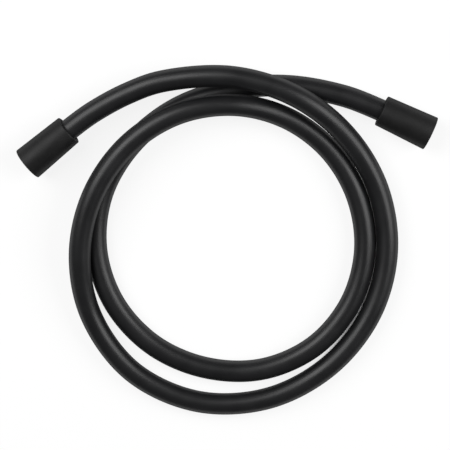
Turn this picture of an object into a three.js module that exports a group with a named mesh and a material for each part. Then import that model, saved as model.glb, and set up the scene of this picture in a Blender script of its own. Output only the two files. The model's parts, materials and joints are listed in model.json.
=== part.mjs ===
// Smooth black shower hose, lying in a loose coil, with a free-turning coupling nut at each end
import * as THREE from 'three';

// Driving dimensions, in millimetres and degrees, +Z up, the hose lies on z = 0

// Hose
const hoseOuterRadius = 7.65;
const hoseBoreRadius = 4.9;
const hoseSides = 12;
const hoseSteps = 80;
const straightRun = 2;
const straightHold = 4;

// Coupling nut, a slim cone with its widest end at the mouth
const threadMajorRadius = 10.5;
const threadLength = 9.6;
const threadLeadIn = 0.35;
const seatDepth = 8.6;
const mouthWall = 1.6;
const backWall = 1.6;
const rearWall = 5.1;
const nutMouthRound = 0.6;
const nutBackRound = 0.8;

// Pieces inside the nut
const slipRingThickness = 1.5;
const ferruleLength = 17.2;
const ferruleWall = 0.9;
const crimpCount = 3;
const crimpDepth = 0.35;
const crimpWidth = 2.2;
const flangeThickness = 2.2;
const washerThickness = 2;
const washerHoleRadius = 5.6;
const tailWall = 0.65;
const barbCount = 4;
const barbHeight = 0.45;
const softEdge = 0.25;

// Clearances
const faceGap = 0.3;
const turnGap = 0.3;
const ferrulePlay = 0.5;
const hoseSlide = 0.6;
const borePlay = 0.5;

// Facets round each turned piece
const nutFacets = 36;
const innerFacets = 28;
const tailFacets = 24;

// The loose coil between the nuts, clockwise: angle round the coil's centre, radius, height
const coilCentre = [4.5, 4];
const coilPoints = [
  [138, 131.2, 14.1],
  [126, 124.8, 15.7],
  [114, 120, 17.9],
  [90, 112.8, 22.7],
  [66, 108.3, 22.9],
  [42, 105.7, 15.2],
  [18, 106.1, 10.6],
  [-6, 108.3, 9],
  [-30, 111.6, 8.2],
  [-54, 115.4, 7.75],
  [-78, 119.5, 7.65],
  [-102, 122, 7.7],
  [-126, 121.1, 8.1],
  [-150, 115.4, 10.8],
  [-174, 108.1, 19.1],
  [-198, 102.4, 23.1],
  [-222, 98.5, 23.5],
  [-246, 95.8, 23.4],
  [-270, 93.3, 20.5],
  [-294, 91, 12.3],
  [-318, 90.1, 8.1],
  [-342, 90.65, 7.7],
  [-366, 92.7, 7.65],
  [-390, 95.4, 7.65],
  [-414, 97.6, 7.65],
  [-438, 98, 7.65],
  [-462, 96.9, 7.65],
  [-486, 96.9, 7.65],
  [-510, 97, 7.65],
  [-534, 96.9, 7.65],
  [-558, 96.6, 7.65],
  [-582, 96.1, 7.65],
  [-606, 98, 7.65],
  [-630, 103, 7.65],
  [-650, 112, 7.75],
  [-668, 124.8, 9.1],
];

// Stations along a nut's axis, counted from its mouth towards the hose
const washerFront = seatDepth;
const flangeFront = washerFront + washerThickness + faceGap;
const ferruleFront = flangeFront + flangeThickness + faceGap;
const slipRingFront = ferruleFront + ferruleLength + faceGap;
const shoulder = slipRingFront + slipRingThickness + faceGap;
const nutLength = shoulder + rearWall;
const hoseEnd = ferruleFront;

// Radii that follow from what fits in what
const ferruleInnerRadius = hoseOuterRadius + turnGap;
const ferruleOuterRadius = ferruleInnerRadius + ferruleWall;
const chamberRadius = ferruleOuterRadius + ferrulePlay;
const discRadius = chamberRadius - turnGap;
const rearHoleRadius = hoseOuterRadius + hoseSlide;
const nutMouthRadius = threadMajorRadius + mouthWall;
const nutBackRadius = chamberRadius + backWall;
const tailCrestRadius = hoseBoreRadius - borePlay;
const tailRootRadius = tailCrestRadius - barbHeight;
const waterwayRadius = tailRootRadius - tailWall;

// Where each nut lies: centre of its back face in plan, heading of its mouth, and tilt of the axis
const coneTilt = Math.atan((nutMouthRadius - nutBackRadius) / nutLength) * 180 / Math.PI;
const ends = [
  { name: 'inlet', back: [-110.1, 79.2], heading: -140.4, tilt: -2 },
  { name: 'outlet', back: [107.1, 92.4], heading: -25, tilt: coneTilt },
];

const material = (name, color, roughness, metalness) =>
  new THREE.MeshStandardMaterial({ name, color, roughness, metalness });

const hosePlastic = material('hose_pvc', 0x17181a, 0.42, 0);
const nutFinish = material('nut_black', 0x141415, 0.55, 0.2);
const brass = material('insert_brass', 0xb9924a, 0.35, 1);
const steel = material('ferrule_steel', 0x9a9b9d, 0.38, 1);
const rubber = material('washer_rubber', 0x1b1b1c, 0.85, 0);
const slipPlastic = material('slip_ring_plastic', 0xdeddd6, 0.5, 0);

// A profile point: distance from the axis, and station from the mouth
const at = (radius, station) => new THREE.Vector2(radius, -station);

// Quarter round between two straight edges of a profile, centred on the given point
function quarterRound(radius, station, size, fromAngle, steps = 3) {
  const points = [];
  for (let i = 0; i <= steps; i += 1) {
    const angle = (fromAngle + (90 * i) / steps) * Math.PI / 180;
    points.push(at(radius + size * Math.cos(angle), station - size * Math.sin(angle)));
  }
  return points;
}

// A ring or sleeve turned from a profile that closes on itself
function turned(points, facets) {
  return new THREE.LatheGeometry([...points, points[0].clone()], facets);
}

function nutShape() {
  const outer = (station) =>
    nutMouthRadius + (nutBackRadius - nutMouthRadius) * station / nutLength;
  const backCorner = nutLength - nutBackRound;
  return turned([
    at(rearHoleRadius, nutLength),
    ...quarterRound(outer(nutLength) - nutBackRound, backCorner, nutBackRound, -90),
    ...quarterRound(outer(nutMouthRound) - nutMouthRound, nutMouthRound, nutMouthRound, 0),
    at(threadMajorRadius + threadLeadIn, 0),
    at(threadMajorRadius, threadLeadIn),
    at(threadMajorRadius, threadLength),
    at(chamberRadius, threadLength + Math.abs(threadMajorRadius - chamberRadius)),
    at(chamberRadius, shoulder),
    at(rearHoleRadius, shoulder),
  ], nutFacets);
}

// Flat ring with softened edges
function flatRing(holeRadius, outerRadius, front, thickness, edge) {
  const back = front + thickness;
  return turned([
    at(holeRadius, back),
    at(outerRadius - edge, back),
    at(outerRadius, back - edge),
    at(outerRadius, front + edge),
    at(outerRadius - edge, front),
    at(holeRadius, front),
  ], innerFacets);
}

// Thin sleeve round the hose, pressed in at even crimps
function ferruleShape() {
  const back = ferruleFront + ferruleLength;
  const pitch = ferruleLength / crimpCount;
  const points = [at(ferruleInnerRadius, back), at(ferruleOuterRadius, back)];
  for (let i = 0; i < crimpCount; i += 1) {
    const middle = back - pitch * (i + 0.5);
    const reach = crimpWidth / 2;
    points.push(at(ferruleOuterRadius, middle + reach));
    points.push(at(ferruleOuterRadius - crimpDepth, middle + reach - crimpDepth));
    points.push(at(ferruleOuterRadius - crimpDepth, middle - reach + crimpDepth));
    points.push(at(ferruleOuterRadius, middle - reach));
  }
  points.push(at(ferruleOuterRadius, ferruleFront));
  points.push(at(ferruleInnerRadius, ferruleFront));
  return turned(points, innerFacets);
}

// Flanged hose tail: barbs rise towards the flange so that the hose can't pull off
function insertShape() {
  const flangeBack = flangeFront + flangeThickness;
  const tailEnd = ferruleFront + ferruleLength;
  const neck = flangeBack + (tailEnd - flangeBack) / (barbCount + 1);
  const pitch = (tailEnd - neck) / barbCount;
  const points = [at(waterwayRadius, tailEnd)];
  for (let i = 0; i < barbCount; i += 1) {
    const start = tailEnd - pitch * i;
    points.push(at(tailRootRadius, start));
    points.push(at(tailCrestRadius, start - pitch + softEdge));
  }
  points.push(at(tailRootRadius, neck));
  points.push(at(tailRootRadius, flangeBack));
  points.push(at(discRadius - softEdge, flangeBack));
  points.push(at(discRadius, flangeBack - softEdge));
  points.push(at(discRadius, flangeFront + softEdge));
  points.push(at(discRadius - softEdge, flangeFront));
  points.push(at(waterwayRadius, flangeFront));
  return turned(points, tailFacets);
}

// Height of the mouth's centre when the tilted nut rests on the floor
function restHeight(tilt) {
  const corners = [[nutMouthRadius, 0], [nutBackRadius, nutLength]];
  const heights = corners.map(([radius, station]) =>
    radius * Math.cos(tilt) + station * Math.sin(tilt));
  return Math.max(...heights);
}

// Group with its origin at the mouth's centre and +Y out of the mouth
function fittingFrame({ back, heading, tilt }) {
  const turn = THREE.MathUtils.degToRad(heading);
  const lift = THREE.MathUtils.degToRad(tilt);
  const out = new THREE.Vector3(
    Math.cos(turn) * Math.cos(lift), Math.sin(turn) * Math.cos(lift), Math.sin(lift));
  const mouth = new THREE.Vector3(back[0], back[1], 0).addScaledVector(out, nutLength);
  mouth.z = restHeight(lift);
  const frame = new THREE.Group();
  const side = new THREE.Vector3(-Math.sin(turn), Math.cos(turn), 0);
  const basis = new THREE.Matrix4().makeBasis(side, out, side.clone().cross(out));
  frame.quaternion.setFromRotationMatrix(basis);
  frame.position.copy(mouth);
  frame.updateMatrixWorld();
  return frame;
}

// Points on a nut's axis that hold the hose straight inside the nut and just outside it
function axisPoints(frame) {
  const stations = [hoseEnd, nutLength - straightHold, nutLength + straightRun];
  return stations.map((station) => frame.localToWorld(new THREE.Vector3(0, -station, 0)));
}

function coilPoint([angle, radius, height]) {
  const turn = THREE.MathUtils.degToRad(angle);
  return new THREE.Vector3(
    coilCentre[0] + radius * Math.cos(turn), coilCentre[1] + radius * Math.sin(turn), height);
}

// Regular section with a flat facing each way along its axes
function ringOutline(radius, sides) {
  const points = [];
  for (let i = 0; i < sides; i += 1) {
    const angle = (i + 0.5) * 2 * Math.PI / sides;
    points.push(new THREE.Vector2(radius * Math.cos(angle), radius * Math.sin(angle)));
  }
  return points;
}

function hoseShape(points) {
  const route = new THREE.CatmullRomCurve3(points, false, 'centripetal');
  route.arcLengthDivisions = points.length * 30;
  const section = new THREE.Shape(ringOutline(hoseOuterRadius, hoseSides));
  section.holes.push(new THREE.Path(ringOutline(hoseBoreRadius, hoseSides)));
  return new THREE.ExtrudeGeometry(section, {
    steps: hoseSteps, extrudePath: route, bevelEnabled: false,
  });
}

function piece(name, geometry, finish) {
  const mesh = new THREE.Mesh(geometry, finish);
  mesh.name = name;
  return mesh;
}

const model = new THREE.Group();
const [inlet, outlet] = ends.map((end) => {
  const frame = fittingFrame(end);
  const washer = flatRing(washerHoleRadius, discRadius, washerFront, washerThickness, softEdge);
  const slipRing = flatRing(rearHoleRadius, discRadius, slipRingFront, slipRingThickness, softEdge);
  frame.add(piece(`${end.name}_nut`, nutShape(), nutFinish));
  frame.add(piece(`${end.name}_washer`, washer, rubber));
  frame.add(piece(`${end.name}_insert`, insertShape(), brass));
  frame.add(piece(`${end.name}_ferrule`, ferruleShape(), steel));
  frame.add(piece(`${end.name}_slip_ring`, slipRing, slipPlastic));
  model.add(frame);
  return frame;
});

const route = [
  ...axisPoints(inlet),
  ...coilPoints.map(coilPoint),
  ...axisPoints(outlet).reverse(),
];
model.add(piece('hose', hoseShape(route), hosePlastic));

export default model;
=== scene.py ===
import json
import math

import bmesh
import bpy
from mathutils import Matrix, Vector


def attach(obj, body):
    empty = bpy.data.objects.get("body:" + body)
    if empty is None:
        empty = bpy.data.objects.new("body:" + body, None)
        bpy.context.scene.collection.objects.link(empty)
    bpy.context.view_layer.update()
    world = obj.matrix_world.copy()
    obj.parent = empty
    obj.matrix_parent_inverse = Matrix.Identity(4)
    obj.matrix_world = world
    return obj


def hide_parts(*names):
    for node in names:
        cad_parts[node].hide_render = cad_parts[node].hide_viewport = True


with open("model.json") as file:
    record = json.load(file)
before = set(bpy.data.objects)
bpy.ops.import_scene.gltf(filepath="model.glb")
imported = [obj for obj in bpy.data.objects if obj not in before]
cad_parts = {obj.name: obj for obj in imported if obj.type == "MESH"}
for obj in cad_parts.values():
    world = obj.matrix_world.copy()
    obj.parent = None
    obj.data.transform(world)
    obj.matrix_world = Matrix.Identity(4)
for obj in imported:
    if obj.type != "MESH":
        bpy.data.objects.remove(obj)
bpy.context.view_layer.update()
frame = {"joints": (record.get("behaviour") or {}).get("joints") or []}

mm = 0.001  # sizes below are in millimetres, and Blender's own units are metres
joints = {joint["name"]: joint for joint in frame["joints"]}


# Camera: looks down on the coil, leaning a little over its far side
camera = {
    "imageSize": 450,
    "mmPerPixel": 0.7045,
    "distance": 1700,
    "lean": 9,
    "lookAt": (-1.6, 10.2, 0),
    "sensorWidth": 36,
    "clipEnd": 100,  # metres
}


def makeCamera():
    data = bpy.data.cameras.new("camera")
    lean = math.radians(camera["lean"])
    back = Vector((0, math.sin(lean), math.cos(lean)))
    data.sensor_width = camera["sensorWidth"]
    fieldWidth = camera["imageSize"] * camera["mmPerPixel"]
    data.lens = data.sensor_width * camera["distance"] / fieldWidth
    data.clip_end = camera["clipEnd"]
    view = bpy.data.objects.new("camera", data)
    view.location = (Vector(camera["lookAt"]) + back * camera["distance"]) * mm
    view.rotation_euler = (-lean, 0, 0)
    bpy.context.scene.collection.objects.link(view)
    bpy.context.scene.camera = view
    bpy.context.scene.view_settings.view_transform = "Standard"


def meshPiece(name, vertices, faces, uvs=None, sharpAngle=32):
    # Smooth shaded, with an edge sharp where its two faces meet at a larger angle
    mesh = bpy.data.meshes.new(name)
    mesh.from_pydata([tuple(v) for v in vertices], [], faces)
    if uvs:
        layer = mesh.uv_layers.new(name="UVMap")
        for loop in mesh.loops:
            layer.data[loop.index].uv = uvs[loop.index]
    bm = bmesh.new()
    bm.from_mesh(mesh)
    bmesh.ops.recalc_face_normals(bm, faces=bm.faces)
    limit = math.radians(sharpAngle)
    for face in bm.faces:
        face.smooth = True
    for edge in bm.edges:
        edge.smooth = len(edge.link_faces) == 2 and edge.calc_face_angle() < limit
    bm.to_mesh(mesh)
    bm.free()
    piece = bpy.data.objects.new(name, mesh)
    bpy.context.scene.collection.objects.link(piece)
    return piece


# Hose: straightHold before a nut's back end and straightRun past it, its line is on the nut's axis
hose = {
    "outerRadius": 7.65,
    "boreRadius": 4.9,
    "straightRun": 2,
    "straightHold": 4,
    "sides": 48,
    "spanSteps": 14,
    "sharpAngle": 60,
    "waver": 0.035,
    "waverLengths": (17, 29),
}

# The route that the hose lies along: angle round the coil's centre, radius, height
coilCentre = (4.5, 4)
coilPoints = [
    (138, 131.2, 14.1), (126, 124.8, 15.7), (114, 120, 17.9), (90, 112.8, 22.7),
    (66, 108.3, 22.9), (42, 105.7, 15.2), (18, 106.1, 10.6), (-6, 108.3, 9),
    (-30, 111.6, 8.2), (-54, 115.4, 7.75), (-78, 119.5, 7.65), (-102, 122, 7.7),
    (-126, 121.1, 8.1), (-150, 115.4, 10.8), (-174, 108.1, 19.1), (-198, 102.4, 23.1),
    (-222, 98.5, 23.5), (-246, 95.8, 23.4), (-270, 93.3, 20.5), (-294, 91, 12.3),
    (-318, 90.1, 8.1), (-342, 90.65, 7.7), (-366, 92.7, 7.65), (-390, 95.4, 7.65),
    (-414, 97.6, 7.65), (-438, 98, 7.65), (-462, 96.9, 7.65), (-486, 96.9, 7.65),
    (-510, 97, 7.65), (-534, 96.9, 7.65), (-558, 96.6, 7.65), (-582, 96.1, 7.65),
    (-606, 98, 7.65), (-630, 103, 7.65), (-650, 112, 7.75), (-668, 124.8, 9.1),
]


def coilPoint(angle, radius, height):
    turn = math.radians(angle)
    x = coilCentre[0] + radius * math.cos(turn)
    y = coilCentre[1] + radius * math.sin(turn)
    return Vector((x, y, height))


def axisPoints(end):
    stations = (ferruleFront, nutLength - hose["straightHold"], nutLength + hose["straightRun"])
    return [end.onAxis(station) for station in stations]


def smoothLine(points, spanSteps):
    # Centripetal Catmull-Rom line through the points, as the solid hose follows
    first = points[0] * 2 - points[1]
    last = points[-1] * 2 - points[-2]
    padded = [first, *points, last]
    line = []
    for i in range(len(points) - 1):
        a, b, c, d = padded[i:i + 4]
        before, here, after = (math.sqrt((q - p).length) for p, q in ((a, b), (b, c), (c, d)))
        leave = ((b - a) / before - (c - a) / (before + here) + (c - b) / here) * here
        arrive = ((c - b) / here - (d - b) / (here + after) + (d - c) / after) * here
        for k in range(spanSteps):
            t = k / spanSteps
            cubic = (b - c) * 2 + leave + arrive
            square = (c - b) * 3 - leave * 2 - arrive
            line.append(b + leave * t + square * t * t + cubic * t * t * t)
    line.append(points[-1])
    return line


def hoseLine():
    coil = [coilPoint(*row) for row in coilPoints]
    points = [*axisPoints(inlet), *coil, *reversed(axisPoints(outlet))]
    return smoothLine(points, hose["spanSteps"])


def waver(along, turn):
    # Slow unevenness of an extruded tube, far too small to measure on the real one
    first, second = hose["waverLengths"]
    waves = math.sin(along / first + 2 * turn) + math.sin(along / second - turn)
    return hose["waver"] * waves / 2


def makeHose(line):
    # Outside and bore are two skins joined by a ring at each cut end
    sides = hose["sides"]
    count = len(line)
    travelled = [0]
    for before, here in zip(line, line[1:]):
        travelled.append(travelled[-1] + (here - before).length)
    rings = []
    for i, centre in enumerate(line):
        ahead = line[min(i + 1, count - 1)] - line[max(i - 1, 0)]
        side = ahead.cross(Vector((0, 0, 1))).normalized()
        up = side.cross(ahead).normalized()
        rings.append((centre, side, up))
    vertices = []
    for radius in (hose["outerRadius"], hose["boreRadius"]):
        for (centre, side, up), along in zip(rings, travelled):
            for k in range(sides):
                turn = 2 * math.pi * k / sides
                across = side * math.cos(turn) + up * math.sin(turn)
                vertices.append((centre + across * (radius + waver(along, turn))) * mm)
    bore = count * sides
    faces = []
    uvs = []
    for skin, flip in ((0, False), (bore, True)):
        for i in range(count - 1):
            near, far = skin + i * sides, skin + (i + 1) * sides
            low, high = travelled[i] * mm, travelled[i + 1] * mm
            for k in range(sides):
                n = (k + 1) % sides
                here, there = k / sides, (k + 1) / sides
                corners = [near + k, near + n, far + n, far + k]
                place = [(here, low), (there, low), (there, high), (here, high)]
                if flip:
                    corners.reverse()
                    place.reverse()
                faces.append(corners)
                uvs.extend(place)
    for i in (0, count - 1):
        ring = i * sides
        for k in range(sides):
            n = (k + 1) % sides
            faces.append([ring + k, ring + n, bore + ring + n, bore + ring + k])
            uvs.extend([(k / sides, travelled[i] * mm)] * 4)
    return meshPiece("hose_fine", vertices, faces, uvs, hose["sharpAngle"])


# Turned pieces: closed outlines that are revolved about the axis of an end

def rounded(corners, arcSteps=4):
    # Corners as (radius, station, size of the round), into a list of points
    outline = []
    for i, (radius, station, size) in enumerate(corners):
        corner = Vector((radius, station))
        before = Vector(corners[i - 1][:2]) - corner
        after = Vector(corners[(i + 1) % len(corners)][:2]) - corner
        start = corner + before.normalized() * size
        stop = corner + after.normalized() * size
        for k in range(arcSteps + 1):
            t = k / arcSteps
            outline.append(start * (1 - t) ** 2 + corner * 2 * t * (1 - t) + stop * t ** 2)
    return outline


def turnedPiece(end, name, outline, facets=96):
    # An outline point's radius is a number, or a function of the turn where a thread is cut
    vertices = []
    for radius, station in outline:
        for k in range(facets):
            turn = 2 * math.pi * k / facets
            reach = radius(turn) if callable(radius) else radius
            vertices.append(end.place(reach, turn, station))
    faces = []
    for i in range(len(outline)):
        j = (i + 1) % len(outline)
        for k in range(facets):
            n = (k + 1) % facets
            faces.append([i * facets + k, i * facets + n, j * facets + n, j * facets + k])
    return meshPiece(f"{end.name}_{name}_fine", vertices, faces)


# Thread: internal pipe thread, opened at the mouth over leadIn and fading out over its last turn
thread = {
    "majorRadius": 10.5,
    "minorRadius": 9.32,
    "pitch": 1.814,
    "start": 0.15,
    "length": 9.6,
    "leadIn": 0.9,
    "flankSlope": 1.3,
    "rows": 76,
}


def threadRow(station):
    # Radius of the thread at this station, as a function of the turn
    low, high, pitch = thread["minorRadius"], thread["majorRadius"], thread["pitch"]
    opened = max(0, 1 - station / thread["leadIn"])
    closing = min(1, max(0, (station - thread["length"] + pitch) / pitch))

    def radius(turn):
        phase = (station / pitch + turn / (2 * math.pi)) % 1
        wave = min(1, max(0, (abs(2 * phase - 1) - 0.5) * thread["flankSlope"] + 0.5))
        depth = max(wave * wave * (3 - 2 * wave), opened) * (1 - closing)
        return low + (high - low) * depth
    return radius


# Nut: slim cone, widest at the mouth, with a chamber behind the thread for what it turns on
nut = {
    "seatDepth": 8.6,
    "mouthWall": 1.6,
    "backWall": 1.6,
    "rearWall": 5.1,
    "mouthRound": 0.6,
    "mouthLip": 0.2,
    "mouthLipRound": 0.15,
    "backRound": 0.8,
    "rearHoleRound": 0.4,
    "shoulderRound": 0.2,
    "undercut": 0.3,
    "facets": 128,
}


def makeNut(end):
    outside = rounded([
        (rearHole, shoulder, nut["shoulderRound"]),
        (rearHole, nutLength, nut["rearHoleRound"]),
        (nutBack, nutLength, nut["backRound"]),
        (nutMouth, 0, nut["mouthRound"]),
        (thread["majorRadius"] + nut["mouthLip"], 0, nut["mouthLipRound"]),
    ])
    step = (thread["length"] - thread["start"]) / thread["rows"]
    stations = [thread["start"] + step * i for i in range(thread["rows"] + 1)]
    cut = [(threadRow(station), station) for station in stations]
    chamber = [(chamberRadius, thread["length"] + nut["undercut"]), (chamberRadius, shoulder)]
    return turnedPiece(end, "nut", [*outside, *cut, *chamber], nut["facets"])


# Flat rings: the seal in the nut's mouth, and the plastic ring that the nut turns on
washer = {"thickness": 2, "holeRadius": 5.6, "rimRound": 0.35}
slipRing = {"thickness": 1.5, "rimRound": 0.25}
holeRoundShare = 0.7  # the round at a ring's hole, as a share of the one at its rim


def flatRing(end, name, hole, front, ring):
    back = front + ring["thickness"]
    rim = ring["rimRound"]
    inner = rim * holeRoundShare
    return turnedPiece(end, name, rounded([
        (hole, back, inner),
        (discRadius, back, rim),
        (discRadius, front, rim),
        (hole, front, inner),
    ]))


def makeWasher(end):
    return flatRing(end, "washer", washer["holeRadius"], washerFront, washer)


def makeSlipRing(end):
    return flatRing(end, "slip_ring", rearHole, slipRingFront, slipRing)


# Insert: a flange in front, and behind it a barbed tail that grips in the hose's bore
insert = {
    "flangeThickness": 2.2,
    "flangeRound": 0.25,
    "neckRound": 0.3,
    "tailWall": 0.65,
    "barbCount": 4,
    "barbHeight": 0.45,
    "barbLand": 0.25,
    "barbRound": 0.08,
    "waterwayBevel": 0.5,
    "fineRound": 0.1,
    "arcSteps": 3,
}


def makeInsert(end):
    fine, bevel = insert["fineRound"], insert["waterwayBevel"]
    neck = flangeBack + (ferruleBack - flangeBack) / (insert["barbCount"] + 1)
    pitch = (ferruleBack - neck) / insert["barbCount"]
    corners = [(waterway, ferruleBack, fine)]
    for i in range(insert["barbCount"]):
        start = ferruleBack - pitch * i
        corners.append((tailRoot, start, fine))
        corners.append((tailCrest, start - pitch + insert["barbLand"], insert["barbRound"]))
    corners += [
        (tailRoot, neck, fine),
        (tailRoot, flangeBack, insert["neckRound"]),
        (discRadius, flangeBack, insert["flangeRound"]),
        (discRadius, flangeFront, insert["flangeRound"]),
        (waterway + bevel, flangeFront, fine),
        (waterway, flangeFront + bevel, fine),
    ]
    return turnedPiece(end, "insert", rounded(corners, insert["arcSteps"]))


# Ferrule: thin sleeve crimped round the hose over the barbs
ferrule = {
    "length": 17.2,
    "wall": 0.9,
    "rimRound": 0.3,
    "crimpCount": 3,
    "crimpDepth": 0.35,
    "crimpWidth": 2.2,
    "crimpRound": 0.25,
    "innerRound": 0.2,
    "arcSteps": 3,
}


def makeFerrule(end):
    rim, crimp, inner = ferrule["rimRound"], ferrule["crimpRound"], ferrule["innerRound"]
    pitch = ferrule["length"] / ferrule["crimpCount"]
    reach = ferrule["crimpWidth"] / 2
    pressed = ferruleOuter - ferrule["crimpDepth"]
    corners = [(ferruleInner, ferruleBack, inner), (ferruleOuter, ferruleBack, rim)]
    for i in range(ferrule["crimpCount"]):
        middle = ferruleBack - pitch * (i + 0.5)
        corners.append((ferruleOuter, middle + reach, crimp))
        corners.append((pressed, middle + reach - ferrule["crimpDepth"], inner))
        corners.append((pressed, middle - reach + ferrule["crimpDepth"], inner))
        corners.append((ferruleOuter, middle - reach, crimp))
    corners += [(ferruleOuter, ferruleFront, rim), (ferruleInner, ferruleFront, inner)]
    return turnedPiece(end, "ferrule", rounded(corners, ferrule["arcSteps"]))


# Clearances between the pieces
clearance = {
    "face": 0.3,
    "turn": 0.3,
    "ferrule": 0.5,
    "hose": 0.6,
    "bore": 0.5,
}

# Stations along the nut's axis, counted from its mouth towards the hose
washerFront = nut["seatDepth"]
flangeFront = washerFront + washer["thickness"] + clearance["face"]
flangeBack = flangeFront + insert["flangeThickness"]
ferruleFront = flangeBack + clearance["face"]
ferruleBack = ferruleFront + ferrule["length"]
slipRingFront = ferruleBack + clearance["face"]
shoulder = slipRingFront + slipRing["thickness"] + clearance["face"]
nutLength = shoulder + nut["rearWall"]

# Radii that follow from what fits in what
ferruleInner = hose["outerRadius"] + clearance["turn"]
ferruleOuter = ferruleInner + ferrule["wall"]
chamberRadius = ferruleOuter + clearance["ferrule"]
discRadius = chamberRadius - clearance["turn"]
rearHole = hose["outerRadius"] + clearance["hose"]
nutMouth = thread["majorRadius"] + nut["mouthWall"]
nutBack = chamberRadius + nut["backWall"]
tailCrest = hose["boreRadius"] - clearance["bore"]
tailRoot = tailCrest - insert["barbHeight"]
waterway = tailRoot - insert["tailWall"]


class EndFrame:
    # Axes of one end: out of the mouth, sideways and up. The swivel is half way along the nut
    def __init__(self, name):
        joint = joints[name + "_swivel"]
        self.name = name
        self.out = Vector(joint["axis"]).normalized()
        self.side = Vector((0, 0, 1)).cross(self.out).normalized()
        self.up = self.out.cross(self.side)
        self.mouth = Vector(joint["pos_m"]) / mm + self.out * nutLength / 2

    def onAxis(self, station):
        return self.mouth - self.out * station

    def place(self, radius, turn, station):
        across = self.side * math.cos(turn) + self.up * math.sin(turn)
        return (self.onAxis(station) + across * radius) * mm


inlet = EndFrame("inlet")
outlet = EndFrame("outlet")


# Finishes: clouds are the drift of colour and roughness, grain is the fine relief, and each has
# the scale and detail of its noise. Relief is a depth in metres and a strength
hosePvc = {  # satin black
    "dark": (0.0055, 0.0056, 0.0062),
    "light": (0.0077, 0.0078, 0.0085),
    "clouds": (60, 3),
    "roughness": (0.36, 0.43),
    "rimRoughness": 0.95,
    "grain": (1500, 2),
    "dieLines": (60, 6, 1),  # faint lines drawn by the die: how close round the hose and along it
    "dieLineDetail": 2,
    "grainOnLines": 0.5,
    "relief": (0.0001, 0.5),
    "ior": 1.4,
}
nutLacquer = {  # matt black, with an even powder texture
    "dark": (0.0038, 0.0038, 0.0039),
    "light": (0.0058, 0.0058, 0.0059),
    "clouds": (140, 2),
    "roughness": (0.5, 0.56),
    "rimRoughness": 0.95,
    "grain": (2600, 2),
    "relief": (0.00008, 0.5),
    "ior": 1.33,
}
turnedBrass = {
    "dark": (0.42, 0.27, 0.1),
    "light": (0.62, 0.44, 0.19),
    "clouds": (380, 4),
    "roughness": (0.3, 0.42),
    "metallic": 1,
    "grain": (3500, 2),
    "relief": (0.00003, 0.3),
}
drawnSteel = {
    "dark": (0.34, 0.34, 0.35),
    "light": (0.5, 0.5, 0.51),
    "clouds": (500, 4),
    "roughness": (0.3, 0.45),
    "metallic": 1,
    "grain": (3000, 2),
    "relief": (0.00003, 0.3),
}
washerRubber = {
    "dark": (0.016, 0.016, 0.016),
    "light": (0.026, 0.026, 0.025),
    "clouds": (700, 4),
    "roughness": (0.72, 0.85),
    "grain": (2400, 3),
    "relief": (0.00008, 0.4),
}
slipPlastic = {
    "dark": (0.68, 0.67, 0.62),
    "light": (0.76, 0.75, 0.7),
    "clouds": (300, 2),
    "roughness": (0.42, 0.52),
    "grain": (2000, 2),
    "relief": (0.00003, 0.2),
}
noiseRange = (0.3, 0.7)  # nearly all of a noise lies between these
rimRange = (0.45, 0.95)  # how far a surface turns away where it starts and stops getting duller


def newMaterial(name):
    material = bpy.data.materials.new(name)
    material.use_nodes = True
    tree = material.node_tree
    tree.nodes.clear()
    return material, tree, tree.nodes.new("ShaderNodeOutputMaterial")


def noise(tree, vector, scale, detail):
    node = tree.nodes.new("ShaderNodeTexNoise")
    node.inputs["Scale"].default_value = scale
    node.inputs["Detail"].default_value = detail
    tree.links.new(vector, node.inputs["Vector"])
    return node.outputs["Fac"]


def spread(tree, value, low, high, source=noiseRange):
    node = tree.nodes.new("ShaderNodeMapRange")
    node.inputs["From Min"].default_value, node.inputs["From Max"].default_value = source
    node.inputs["To Min"].default_value = low
    node.inputs["To Max"].default_value = high
    tree.links.new(value, node.inputs["Value"])
    return node.outputs["Result"]


def combined(tree, operation, *values):
    # A socket is linked, and a plain number is set
    node = tree.nodes.new("ShaderNodeMath")
    node.operation = operation
    for i, value in enumerate(values):
        if isinstance(value, bpy.types.NodeSocket):
            tree.links.new(value, node.inputs[i])
        else:
            node.inputs[i].default_value = value
    return node.outputs["Value"]


def tint(tree, value, dark, light):
    node = tree.nodes.new("ShaderNodeMix")
    node.data_type = "RGBA"
    node.inputs["A"].default_value = (*dark, 1)
    node.inputs["B"].default_value = (*light, 1)
    tree.links.new(value, node.inputs["Factor"])
    return node.outputs["Result"]


def duller(tree, roughness, rimRoughness):
    # Fine grain scatters the bright floor's reflection where the surface turns away
    facing = tree.nodes.new("ShaderNodeLayerWeight")
    mix = tree.nodes.new("ShaderNodeMix")
    tree.links.new(spread(tree, facing.outputs["Facing"], 0, 1, rimRange), mix.inputs["Factor"])
    tree.links.new(roughness, mix.inputs["A"])
    mix.inputs["B"].default_value = rimRoughness
    return mix.outputs["Result"]


def linesAlong(tree, uv, stretch, detail):
    # The hose's UV goes once round it, and along it in metres
    node = tree.nodes.new("ShaderNodeMapping")
    node.inputs["Scale"].default_value = stretch
    tree.links.new(uv, node.inputs["Vector"])
    return noise(tree, node.outputs["Vector"], 1, detail)


def relief(tree, height, distance, strength):
    node = tree.nodes.new("ShaderNodeBump")
    node.inputs["Distance"].default_value = distance
    node.inputs["Strength"].default_value = strength
    tree.links.new(height, node.inputs["Height"])
    return node.outputs["Normal"]


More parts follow.
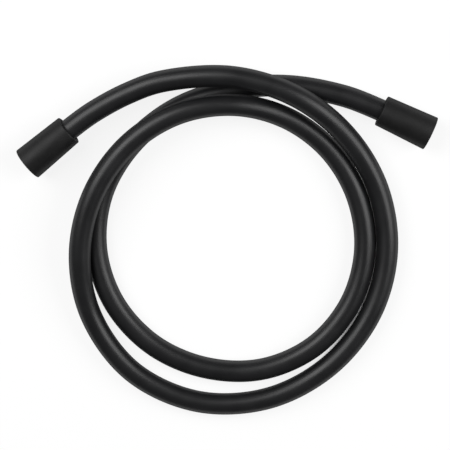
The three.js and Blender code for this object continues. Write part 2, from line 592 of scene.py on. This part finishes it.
def makeFinish(name, finish):
    material, tree, output = newMaterial(name)
    shader = tree.nodes.new("ShaderNodeBsdfPrincipled")
    tree.links.new(shader.outputs["BSDF"], output.inputs["Surface"])
    place = tree.nodes.new("ShaderNodeTexCoord").outputs
    clouds = noise(tree, place["Object"], *finish["clouds"])
    height = noise(tree, place["Object"], *finish["grain"])
    if "dieLines" in finish:
        lines = linesAlong(tree, place["UV"], finish["dieLines"], finish["dieLineDetail"])
        height = combined(tree, "MULTIPLY_ADD", height, finish["grainOnLines"], lines)
    shade = tint(tree, spread(tree, clouds, 0, 1), finish["dark"], finish["light"])
    roughness = spread(tree, clouds, *finish["roughness"])
    if "rimRoughness" in finish:
        roughness = duller(tree, roughness, finish["rimRoughness"])
    tree.links.new(shade, shader.inputs["Base Color"])
    tree.links.new(roughness, shader.inputs["Roughness"])
    tree.links.new(relief(tree, height, *finish["relief"]), shader.inputs["Normal"])
    shader.inputs["Metallic"].default_value = finish.get("metallic", 0)
    if "ior" in finish:
        shader.inputs["IOR"].default_value = finish["ior"]
    return material


def dress(piece, node, body, material):
    # The fine piece takes the place of the plain solid of the same name
    piece.data.materials.append(material)
    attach(piece, body)
    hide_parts(node)


# Floor: white to the eye, with a share of the real shadow. Painted shade: it is made dark where
# less than creviceShut of what is above it within creviceReach is open, and white from creviceOpen
# on
paleFloor = {
    "size": 8,  # metres
    "shade": 0.9,
    "whiteness": 1,
    "shadowShare": 0.16,
    "creviceReach": 12,
    "creviceShut": 0.1,
    "creviceOpen": 0.15,
    "creviceRays": 32,
}


def seenDirectly(tree):
    # 1 where the camera, a mirror reflection or clear material looks at the floor
    path = tree.nodes.new("ShaderNodeLightPath").outputs
    mirrored = combined(tree, "MAXIMUM", path["Is Camera Ray"], path["Is Glossy Ray"])
    return combined(tree, "MAXIMUM", mirrored, path["Is Transmission Ray"])


def floorMaterial():
    material, tree, output = newMaterial("paleFloor")
    lit = tree.nodes.new("ShaderNodeBsdfDiffuse")
    lit.inputs["Color"].default_value = (*[paleFloor["shade"]] * 3, 1)
    white = tree.nodes.new("ShaderNodeEmission")
    white.inputs["Strength"].default_value = paleFloor["whiteness"]
    # Painted shade: an ambient occlusion mask takes the white glow away in a narrow gap between
    # two turns, where light doesn't reach
    paintedShadeMask = tree.nodes.new("ShaderNodeAmbientOcclusion")
    paintedShadeMask.samples = paleFloor["creviceRays"]
    paintedShadeMask.inputs["Distance"].default_value = paleFloor["creviceReach"] * mm
    crevice = (paleFloor["creviceShut"], paleFloor["creviceOpen"])
    share = spread(tree, paintedShadeMask.outputs["AO"], 0, 1 - paleFloor["shadowShare"], crevice)
    mix = tree.nodes.new("ShaderNodeMixShader")
    tree.links.new(combined(tree, "MULTIPLY", seenDirectly(tree), share), mix.inputs["Fac"])
    tree.links.new(lit.outputs["BSDF"], mix.inputs[1])
    tree.links.new(white.outputs["Emission"], mix.inputs[2])
    tree.links.new(mix.outputs["Shader"], output.inputs["Surface"])
    return material


def makeFloor():
    reach = paleFloor["size"] / 2
    corners = [(-reach, -reach, 0), (reach, -reach, 0), (reach, reach, 0), (-reach, reach, 0)]
    mesh = bpy.data.meshes.new("floor")
    mesh.from_pydata(corners, [], [(0, 1, 2, 3)])
    mesh.materials.append(floorMaterial())
    floor = bpy.data.objects.new("floor", mesh)
    bpy.context.scene.collection.objects.link(floor)


# Light: a faint even sky and two softboxes. Heading is in plan from +X and fromAbove down from
# overhead, in degrees; distance and side are in metres, and power is in watts
sky = {"strength": 0.15}
softboxes = {
    "rightSoftbox": {"heading": 11, "fromAbove": 48, "distance": 1.6, "side": 1.05, "power": 20.5},
    "leftSoftbox": {"heading": 144, "fromAbove": 41, "distance": 1.6, "side": 1.05, "power": 21.5},
}


def makeSky():
    world = bpy.data.worlds.new("studio")
    world.use_nodes = True
    bpy.context.scene.world = world
    room = world.node_tree.nodes["Background"]
    room.inputs["Color"].default_value = (1, 1, 1, 1)
    room.inputs["Strength"].default_value = sky["strength"]


def makeSoftboxes():
    for name, box in softboxes.items():
        data = bpy.data.lights.new(name, "AREA")
        data.shape = "SQUARE"
        data.size = box["side"]
        data.energy = box["power"]
        lamp = bpy.data.objects.new(name, data)
        turn, lean = math.radians(box["heading"]), math.radians(box["fromAbove"])
        aside = math.sin(lean)
        towards = Vector((math.cos(turn) * aside, math.sin(turn) * aside, math.cos(lean)))
        lamp.location = towards * box["distance"]
        lamp.rotation_mode = "QUATERNION"
        lamp.rotation_quaternion = towards.to_track_quat("Z", "Y")
        lamp.visible_camera = False
        bpy.context.scene.collection.objects.link(lamp)


makeCamera()
print("camera placed")

line = hoseLine()
hosePiece = makeHose(line)
dress(hosePiece, "hose", "hose", makeFinish("hosePvc", hosePvc))

lacquer = makeFinish("nutLacquer", nutLacquer)
brass = makeFinish("turnedBrass", turnedBrass)
steel = makeFinish("drawnSteel", drawnSteel)
rubber = makeFinish("washerRubber", washerRubber)
slip = makeFinish("slipPlastic", slipPlastic)
for end in (inlet, outlet):
    nutBody = end.name + "_nut"
    pieces = {
        "nut": (makeNut(end), nutBody, lacquer, "nut_black"),
        "washer": (makeWasher(end), nutBody, rubber, "washer_rubber"),
        "slip_ring": (makeSlipRing(end), nutBody, slip, "slip_ring_plastic"),
        "insert": (makeInsert(end), "hose", brass, "insert_brass"),
        "ferrule": (makeFerrule(end), "hose", steel, "ferrule_steel"),
    }
    for name, (piece, body, finish, slot) in pieces.items():
        dress(piece, f"{end.name}_{name}", body, finish)
print("fittings turned")

makeFloor()
makeSky()
makeSoftboxes()
print("studio lit")
